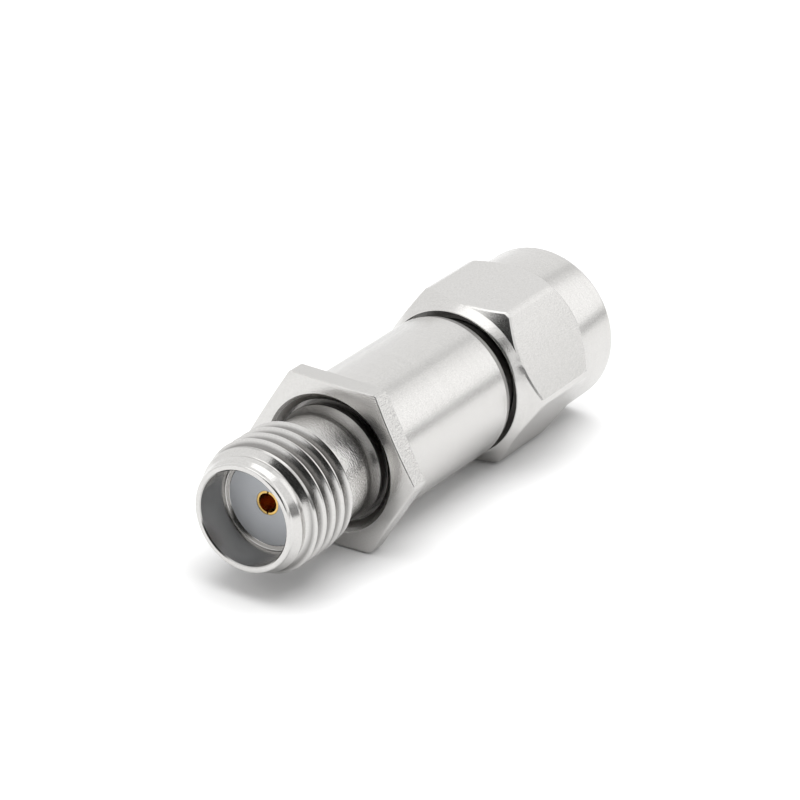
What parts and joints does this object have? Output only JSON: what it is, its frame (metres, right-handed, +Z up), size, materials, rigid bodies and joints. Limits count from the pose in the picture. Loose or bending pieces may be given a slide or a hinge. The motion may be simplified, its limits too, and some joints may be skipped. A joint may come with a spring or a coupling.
{
  "type": "coaxial attenuator",
  "caption": "Fixed coaxial attenuator: a threaded jack in front, a smooth round body with a thin hexagonal flange, and a plug with a hexagonal coupling nut that spins behind.",
  "frame": {"origin": "middle of the part's box on the surface it lies on", "axes": "+X along the common axis from the jack's mouth towards the plug, +Z up"},
  "size_m": [0.0258, 0.0092, 0.0081],
  "materials": {
    "stainless_body": "passivated stainless steel, fine turned",
    "stainless_jack": "passivated stainless steel, fine turned",
    "stainless_plug": "passivated stainless steel, fine turned",
    "stainless_nut": "passivated stainless steel, fine turned",
    "gold_contact": "gold plated spring bronze",
    "gold_pin": "gold plated brass",
    "ptfe_jack": "white fluoropolymer, satin",
    "ptfe_plug": "white fluoropolymer, satin",
    "carrier_brass": "plated brass",
    "alumina": "fired alumina, matt",
    "resistor_ink": "fired resistor ink",
    "silver_print": "fired silver print",
    "solder": "bright solder",
    "spring_bronze": "spring bronze",
    "ring_bronze": "spring bronze, plain",
    "silicone": "soft silicone"
  },
  "bodies": {
    "attenuator_body": {"body_sleeve": "stainless_body", "jack_shell": "stainless_jack", "plug_shell": "stainless_plug", "jack_contact": "gold_contact", "plug_pin": "gold_pin", "jack_insulator": "ptfe_jack", "plug_insulator": "ptfe_plug", "carrier_lower": "carrier_brass", "carrier_upper": "carrier_brass", "attenuator_card": "alumina", "resistor_film": "resistor_ink", "terminal_pads": "silver_print", "ground_pads": "silver_print", "solder_joints": "solder", "compression_washer": "spring_bronze", "retaining_ring": "ring_bronze", "gasket": "silicone"},
    "nut": {"coupling_nut": "stainless_nut"}
  },
  "joints": [
    {"name": "nut_spin", "type": "hinge", "parent": "attenuator_body", "child": "nut", "pos_m": [0.00555, 0, 0.00407], "axis": [1, 0, 0], "continuous": true}
  ]
}
